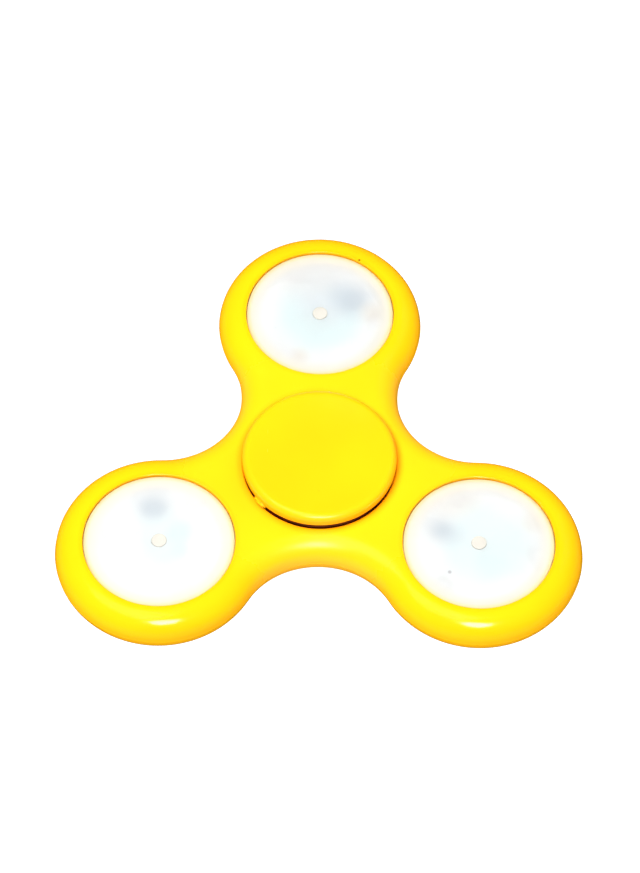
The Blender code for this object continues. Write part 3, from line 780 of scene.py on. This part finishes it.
def inner_ring_mesh(radius, half):
    """The inner ring, whose bore has that radius."""
    edge = RING_CHAMFER
    points = [(INNER_LAND, -half)] + raceway(INNER_LAND, -1) + [(INNER_LAND, half)]
    points += arc(radius + edge, half - edge, edge, 90, 180, 5)
    points += arc(radius + edge, edge - half, edge, 180, 270, 5)
    return from_bm(turned_bm(points, FINE), "inner_race")


def cage_mesh():
    """The nylon cage: a band with a round pocket for each ball."""
    low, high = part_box("bearing_cage")
    round_edge = 0.15 * MM
    points = arc(CAGE_INNER + round_edge, low.z + round_edge, round_edge, 180, 270, 3)
    points += arc(CAGE_OUTER - round_edge, low.z + round_edge, round_edge, -90, 0, 3)
    points += [(CAGE_OUTER, high.z), (CAGE_INNER, high.z)]
    lying = Matrix.Rotation(math.radians(90), 4, "Y")
    reach = 2 * MM
    places = []
    for number in range(1, BALLS + 1):
        middle = ball_centre(number)
        turn = Matrix.Rotation(math.atan2(middle.y, middle.x), 4, "Z")
        places.append(Matrix.Translation(middle) @ turn @ lying)
    pockets = spread(lambda: cylinder_bm(CAGE_POCKET, -reach, reach), places)
    return combined(from_bm(turned_bm(points, FINE), "ball_cage"), ("DIFFERENCE", pockets))


def ball_centre(number):
    low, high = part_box(f"bearing_ball_{number}")
    return (low + high) / 2


def shield_mesh(low, high):
    """A pressed shield: a flat washer with a step near its outer edge and a rolled inner lip."""
    outer, top, bottom = high.x, high.z, low.z
    inner = INNER_LAND + 0.25 * MM
    step = top - SHIELD_STEP
    back = top - SHIELD_THICKNESS
    points = [(inner, bottom + SHIELD_STEP), (inner, top), (outer - 0.9 * MM, top)]
    points += [(outer - 0.7 * MM, step), (outer, step)]
    points += [(outer, bottom), (outer - 0.75 * MM, bottom), (outer - 0.95 * MM, back)]
    points += [(inner + 0.2 * MM, back)]
    return from_bm(turned_bm(points, FINE), "shield")


def make_bearing(looks):
    """The bearing. Its outer ring, which lies at the bottom of the gap under the cap, is painted dark and
    reddish as the shade in that gap.
    """
    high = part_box("bearing_outer_ring")[1]
    outer = outer_ring_mesh(high.x, high.z)
    piece("outer_race", outer, looks["outer_race"], "spinner", ["bearing_outer_ring"])
    inner, steel = inner_ring_mesh(BEARING_BORE, high.z), looks["bearing_steel"]
    piece("inner_race", inner, steel, "finger_caps", ["bearing_inner_ring"])
    piece("ball_cage", cage_mesh(), looks["cage"], "bearing_cage", ["bearing_cage"])
    shield = shield_mesh(*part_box("bearing_shield_front"))
    for side, place in (("front", None), ("rear", OVER)):
        node = f"bearing_shield_{side}"
        piece(f"shield_{side}", shield, looks["bearing_shield"], "spinner", [node], place)
    low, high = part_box("bearing_ball_1")
    ball = bmesh.new()
    bmesh.ops.create_icosphere(ball, subdivisions=4, radius=(high.z - low.z) / 2)
    mesh = from_bm(ball, "ball")
    for number in range(1, BALLS + 1):
        node = f"bearing_ball_{number}"
        place = Matrix.Translation(ball_centre(number))
        piece(f"ball_{number}", mesh, looks["bearing_ball"], node, [node], place)


# ---- Light modules ----


def node_centre(node):
    """The middle of a node's box, at height 0."""
    low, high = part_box(node)
    middle = (low + high) / 2
    return Vector((middle.x, middle.y, 0))


def module_centre(number):
    return node_centre(f"led_lens_{number}")


def module_place(number):
    """The matrix of a module's frame: its middle, turned so that +X points at its chip."""
    towards = node_centre(f"led_chip_{number}") - module_centre(number)
    turn = math.atan2(towards.y, towards.x)
    return Matrix.Translation(module_centre(number)) @ Matrix.Rotation(turn, 4, "Z")


def heights(node):
    """The heights of a node's bottom and top."""
    low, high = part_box(node)
    return low.z, high.z


def at_bosses(radius, bottom, top):
    """A cylinder at each of the three screw bosses."""
    places = [Matrix.Translation(polar(BOSS_PITCH, angle)) for angle in BOSS_ANGLES]
    return spread(lambda: cylinder_bm(radius, bottom, top), places)


def lens_mesh():
    """Front cover: a crowned disc with a hole for the button, a skirt, a spigot and screw bosses."""
    spigot_end, crown = heights("led_lens_1")
    face = crown - LENS_CROWN
    inside = face - COVER_WALL
    flange = LEDGE_HALF + LEDGE_GAP
    edge, fillet = BUTTON_HOLE_EDGE, COVER_FILLET
    points = [(BUTTON_HOLE, inside)]
    points += arc(BUTTON_HOLE + edge, crown - edge, edge, 180, 90, 4)
    rim = COVER_RADIUS - COVER_EDGE
    for i in range(1, CURVE_STEPS):
        share = i / CURVE_STEPS
        radius = BUTTON_HOLE + (rim - BUTTON_HOLE) * share
        points.append((radius, crown - (crown - face) * share**2))
    points += arc(rim, face - COVER_EDGE, COVER_EDGE, 90, 0, 6)
    points += [(COVER_RADIUS, flange), (SPIGOT_OUTER, flange), (SPIGOT_OUTER, spigot_end)]
    points += [(SPIGOT_INNER, spigot_end)]
    points += arc(SPIGOT_INNER - fillet, inside - fillet, fillet, 0, 90, 4)
    disc = from_bm(turned_bm(points, FINE), "lens")
    bosses = at_bosses(BOSS_RADIUS, BOSS_END, inside + BOSS_OVERLAP)
    pilots = at_bosses(SCREW_HOLE, -CUT, inside - 0.4 * MM)
    return combined(disc, ("UNION", bosses), ("DIFFERENCE", pilots))


def back_cover_mesh():
    """Rear cover: a flat disc with a skirt, a spigot, screw bosses and the coin cell's cradle."""
    low = heights("led_back_cover_1")[0]
    inside = low + BACK_WALL
    flange = -LEDGE_HALF - LEDGE_GAP
    spigot_end = -0.2 * MM
    points = [(0, inside)]
    points += arc(SPIGOT_INNER - COVER_FILLET, inside + COVER_FILLET, COVER_FILLET, -90, 0, 4)
    points += [(SPIGOT_INNER, spigot_end), (SPIGOT_OUTER, spigot_end), (SPIGOT_OUTER, flange)]
    points += [(COVER_RADIUS, flange)]
    points += arc(COVER_RADIUS - COVER_EDGE, low + COVER_EDGE, COVER_EDGE, 0, -90, 6)
    points += [(0, low)]
    disc = from_bm(turned_bm(points, FINE), "rear_cover")
    bosses = at_bosses(BOSS_RADIUS, inside - BOSS_OVERLAP, -BOSS_END)
    holes = at_bosses(SCREW_HOLE, low - CUT, CUT)
    heads = at_bosses(COUNTERBORE, low - CUT, low + COUNTERBORE_DEPTH)
    inner, outer = 6.4 * MM, 6.9 * MM
    foot, rim = inside - 0.3 * MM, -0.3 * MM
    cradle = turned_bm([(inner, foot), (outer, foot), (outer, rim), (inner, rim)])
    slot = box_bm((5.3 * MM, -1.6 * MM, inside), (BOSS_PITCH, 1.6 * MM, CUT))
    bmesh.ops.rotate(slot, verts=slot.verts, matrix=Matrix.Rotation(math.radians(CLIP_ANGLE), 3, "Z"))
    steps = [("UNION", cradle), ("DIFFERENCE", slot), ("UNION", bosses)]
    return combined(disc, *steps, ("DIFFERENCE", holes), ("DIFFERENCE", heads))


def board_mesh():
    """The round circuit board, with a hole for each screw boss."""
    low, high = heights("led_board_1")
    edge = 0.05 * MM
    radius = 8.95 * MM
    hole = 1.55 * MM
    points = [(0, low), (radius - edge, low), (radius, low + edge), (radius, high - edge)]
    points += [(radius - edge, high), (0, high)]
    disc = from_bm(turned_bm(points), "board")
    return combined(disc, ("DIFFERENCE", at_bosses(hole, low - CUT, high + CUT)))


def button_mesh():
    """The push button: a flange held inside the switch, and a stem with a faintly domed, rounded top."""
    low, high = heights("led_button_1")
    flange_top = heights("led_switch_1")[1] - 0.3 * MM
    dome = 0.03 * MM
    points = [(0, low), (BUTTON_FLANGE, low), (BUTTON_FLANGE, flange_top), (BUTTON_RADIUS, flange_top)]
    points += arc(BUTTON_RADIUS - BUTTON_EDGE, high - dome - BUTTON_EDGE, BUTTON_EDGE, 0, 80, 6)
    points += [(0.4 * MM, high - 0.005 * MM), (0, high)]
    return from_bm(turned_bm(points, ROUND), "button")


def switch_mesh():
    """The switch's square case, its corners rounded, over a round cavity for the button's flange."""
    low, high = heights("led_switch_1")
    half, bevel = 2.0 * MM, 0.12 * MM
    case = box_bm((-half, -half, low), (half, half, high), bevel, 2)
    floor, ceiling = low + 0.05 * MM, high - 0.25 * MM
    cavity_radius, hole_radius = 1.65 * MM, BUTTON_HOLE + 0.05 * MM
    cavity = cylinder_bm(cavity_radius, floor, ceiling)
    hole = cylinder_bm(hole_radius, ceiling - 0.1 * MM, high + CUT)
    return combined(from_bm(case, "switch_case"), ("DIFFERENCE", cavity), ("DIFFERENCE", hole))


def dome_mesh():
    """The switch's snap dome, a thin shallow cap that stands on its edge."""
    low, high = heights("switch_dome_1")
    thick = 0.06 * MM
    radius = 1.45 * MM
    steps = 12
    drop = high - low - thick
    above = [(radius * i / steps, high - drop * (i / steps) ** 3) for i in range(steps + 1)]
    below = [(r, z - thick) for r, z in above[:-1]] + [(radius - thick, above[-1][1] - thick)]
    return from_bm(turned_bm(above + below[::-1], SMALL), "snap_dome")


def make_dome(number, mesh, finish, place):
    """The snap dome, which the button's flange flattens when it is pressed."""
    node = f"switch_dome_{number}"
    dome = piece(f"snap_dome_{number}", mesh, finish, "spinner", [node], place)
    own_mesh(dome)


def chip_mesh():
    """The drop of black resin over the controller, flowed out thin at its edge."""
    low, high = heights("led_chip_1")
    radius = 1.8 * MM
    steps = 16
    points = [(0, low)]
    for i in range(steps, -1, -1):
        share = i / steps
        points.append((radius * share, low + (high - low) * (1 - share**2.6) ** 0.9))
    drop = turned_bm(points, ROUND)
    for vert in drop.verts:
        swell = 1 + 0.05 * noise.noise(vert.co * 700)  # not quite round
        vert.co.x *= swell
        vert.co.y *= swell
    return from_bm(drop, "resin_drop")


def led_mesh():
    """A surface-mount LED: a package with rounded edges and a round well that widens upwards."""
    low, high = heights("led_red_1")
    width, length, bevel = 1.4 * MM, 1.75 * MM, 0.08 * MM
    case = box_bm((-width, -length, low), (width, length, high), bevel, 2)
    floor = high - 0.3 * MM
    well = [(0, floor), (0.85 * MM, floor), (1.08 * MM, high + CUT), (0, high + CUT)]
    return combined(from_bm(case, "led"), ("DIFFERENCE", turned_bm(well, SMALL)))


def cell_mesh():
    """A coin cell: the can with rounded edges and a crimp, and the smaller negative cap above it."""
    low, high = heights("coin_cell_1")
    radius, cap = 6.25 * MM, 5.3 * MM
    crimp = high - 0.25 * MM
    base, edge = 0.25 * MM, 0.2 * MM
    points = [(0, low)] + arc(radius - base, low + base, base, -90, 0, 5)
    points += arc(radius - edge, crimp - edge, edge, 0, 90, 5)
    points += [(cap + 0.1 * MM, crimp)]
    points += arc(cap - edge, high - edge, edge, 0, 90, 5)
    points += [(0, high)]
    return from_bm(turned_bm(points, ROUND), "cell")


def clip_mesh():
    """The positive contact: a bent strip that hangs from the board and turns in under the cell."""
    low, high = heights("cell_clip_1")
    inner, thick = 6.3 * MM, 0.15 * MM
    outer = inner + thick
    bend = 0.35 * MM
    tip = 1.0 * MM
    width = 3.0 * MM
    section = [(outer, high), (inner, high)]
    section += arc(inner - bend, low + thick + bend, bend, 0, -90, 5)
    section += [(tip, low + thick), (tip, low)]
    section += arc(outer - bend - thick, low + bend + thick, bend + thick, -90, 0, 5)
    bm = bmesh.new()
    face = bm.faces.new([bm.verts.new((x, -width / 2, z)) for x, z in section])
    grown = bmesh.ops.extrude_face_region(bm, geom=[face])["geom"]
    moved = [v for v in grown if isinstance(v, bmesh.types.BMVert)]
    bmesh.ops.translate(bm, verts=moved, vec=(0, width, 0))
    return from_bm(bm, "contact_clip")


def screw_mesh():
    """A pan-head screw pointing up: a rounded head with a cross recess, and a shank with thread ridges."""
    low, high = heights("cover_screw_1a")
    under = low + 0.6 * MM
    pan = 0.35 * MM
    points = [(0, low)] + arc(SCREW_HEAD - pan, low + pan, pan, -90, 0, 6)
    points += [(SCREW_HEAD, under), (SCREW_RADIUS, under)]
    height = under + THREAD_PITCH
    while height < high - THREAD_PITCH:
        points += [(SCREW_RADIUS, height), (SCREW_RADIUS - THREAD_DEPTH, height + THREAD_PITCH / 2)]
        height += THREAD_PITCH
    points += [(SCREW_RADIUS, height), (SCREW_RADIUS * 0.5, high), (0, high)]
    length, width, floor = 0.7 * MM, 0.17 * MM, low + 0.35 * MM
    one = box_bm((-length, -width, low - CUT), (length, width, floor))
    other = box_bm((-width, -length, low - CUT), (width, length, floor))
    screw = from_bm(turned_bm(points, SMALL), "screw")
    return combined(screw, ("DIFFERENCE", one), ("DIFFERENCE", other))


def beside(node, number, outward=False):
    """The matrix of a part of module number whose middle is away from the module's own."""
    middle = node_centre(node)
    away = middle - module_centre(number)
    if outward:
        facing = Matrix.Rotation(math.atan2(away.y, away.x), 4, "Z")
    else:
        facing = module_place(number).to_3x3().to_4x4()
    return Matrix.Translation(middle) @ facing


def still_parts(number):
    """(name, slot, node, matrix) of each part that stays still in a module, but for its lens."""
    place = module_place(number)
    clip_place = place @ Matrix.Rotation(math.radians(CLIP_ANGLE), 4, "Z")
    chip = f"led_chip_{number}"
    parts = [
        (f"rear_cover_{number}", "back_cover", f"led_back_cover_{number}", place),
        (f"board_{number}", "board", f"led_board_{number}", place),
        (f"switch_case_{number}", "switch", f"led_switch_{number}", place),
        (f"cell_{number}", "cell", f"coin_cell_{number}", place),
        (f"contact_clip_{number}", "spring_steel", f"cell_clip_{number}", clip_place),
        (f"resin_drop_{number}", "chip", chip, beside(chip, number)),
    ]
    for colour in ("red", "green", "blue"):
        node = f"led_{colour}_{number}"
        parts.append((f"{colour}_led_{number}", "led", node, beside(node, number, outward=True)))
    for letter in SCREWS:
        node = f"cover_screw_{number}{letter}"
        parts.append((f"screw_{number}{letter}", "screw", node, beside(node, number, outward=True)))
    return parts


def make_modules(looks):
    """The three light modules, which share their meshes. Each lens has a look, and so a mesh, of its own."""
    lens, button, dome = lens_mesh(), button_mesh(), dome_mesh()
    meshes = {
        "back_cover": back_cover_mesh(),
        "board": board_mesh(),
        "switch": switch_mesh(),
        "cell": cell_mesh(),
        "spring_steel": clip_mesh(),
        "chip": chip_mesh(),
        "led": led_mesh(),
        "screw": screw_mesh(),
    }
    for number in range(1, LOBES + 1):
        place = module_place(number)
        finish = looks[f"lens_{number}"]
        piece(f"lens_{number}", lens.copy(), finish, "spinner", [f"led_lens_{number}"], place)
        for name, slot, node, where in still_parts(number):
            piece(name, meshes[slot], looks[slot], "spinner", [node], where)
        make_dome(number, dome, looks["spring_steel"], place)
        body = f"led_button_{number}"
        piece(f"push_button_{number}", button, looks["button"], body, [body], place)


# ---- Studio ----


def direction(azimuth, elevation):
    """The unit vector towards a point at that azimuth, 0 in front at -Y, and elevation, in degrees."""
    a, e = math.radians(azimuth), math.radians(elevation)
    return Vector((math.sin(a) * math.cos(e), -math.cos(a) * math.cos(e), math.sin(e)))


def add_camera():
    """The camera, aimed at the spin axis at the height of the lenses' rims."""
    data = bpy.data.cameras.new("camera")
    data.lens = FOCAL_MM
    data.sensor_width = SENSOR_MM
    data.clip_start = 0.01
    data.clip_end = 50
    camera = bpy.data.objects.new("camera", data)
    bpy.context.scene.collection.objects.link(camera)
    back = direction(CAMERA_AZIMUTH, CAMERA_ELEVATION)
    turn = math.radians(CAMERA_AZIMUTH)
    level = Vector((math.cos(turn), math.sin(turn), 0))
    roll = math.radians(CAMERA_ROLL)
    up = back.cross(level)
    right = level * math.cos(roll) + up * math.sin(roll)
    up = up * math.cos(roll) - level * math.sin(roll)
    rim_height = heights("led_lens_1")[1] - LENS_CROWN
    place = Vector((0, 0, rim_height)) + back * CAMERA_DISTANCE
    place += right * CAMERA_SLIDE[0] + up * CAMERA_SLIDE[1]
    axes = Matrix((right, up, back)).transposed().to_4x4()
    camera.matrix_world = Matrix.Translation(place) @ axes
    bpy.context.scene.camera = camera


def add_panel(name, azimuth, elevation, distance, diameter, watts):
    """A round panel of light that faces the origin."""
    data = bpy.data.lights.new(name, "AREA")
    data.shape = "DISK"
    data.size = diameter
    data.energy = watts
    light = bpy.data.objects.new(name, data)
    bpy.context.scene.collection.objects.link(light)
    towards = direction(azimuth, elevation)
    light.location = towards * distance
    light.rotation_mode = "QUATERNION"
    light.rotation_quaternion = towards.to_track_quat("Z", "Y")
    return light


def add_lights():
    """The panels and the sky. The key, the fill and the sky light the object but don't show in it."""
    add_panel("key", *KEY).visible_glossy = False
    add_panel("fill", *FILL).visible_glossy = False
    add_panel("glint", *GLINT)
    world = bpy.data.worlds.new("sky")
    bpy.context.scene.world = world
    world.use_nodes = True
    world.cycles_visibility.glossy = False
    shade = world.node_tree.nodes["Background"]
    shade.inputs["Color"].default_value = (1, 1, 1, 1)
    shade.inputs["Strength"].default_value = SKY


def add_floor():
    """A round lit table, level with the lowest point of the rear cap."""
    bm = bmesh.new()
    bmesh.ops.create_circle(bm, cap_ends=True, segments=FINE, radius=FLOOR_RADIUS)
    bmesh.ops.translate(bm, verts=bm.verts, vec=(0, 0, cad_low.z))
    mesh = bpy.data.meshes.new("floor")
    bm.to_mesh(mesh)
    bm.free()
    constants = {"Roughness": 0.9, "Specular IOR Level": 0.0}
    constants |= {"Emission Color": (1, 1, 1, 1), "Emission Strength": FLOOR_GLOW}
    paper = Finish("white_paper", (FLOOR_WHITE,) * 3, constants)
    mesh.materials.append(paper.material)
    obj = bpy.data.objects.new("floor", mesh)
    bpy.context.scene.collection.objects.link(obj)
    obj.visible_glossy = False


def main():
    bpy.context.scene.view_settings.view_transform = "Standard"
    add_camera()
    add_lights()
    add_floor()
    looks = make_materials()
    make_body(looks)
    make_caps(looks)
    make_bearing(looks)
    make_modules(looks)


main()
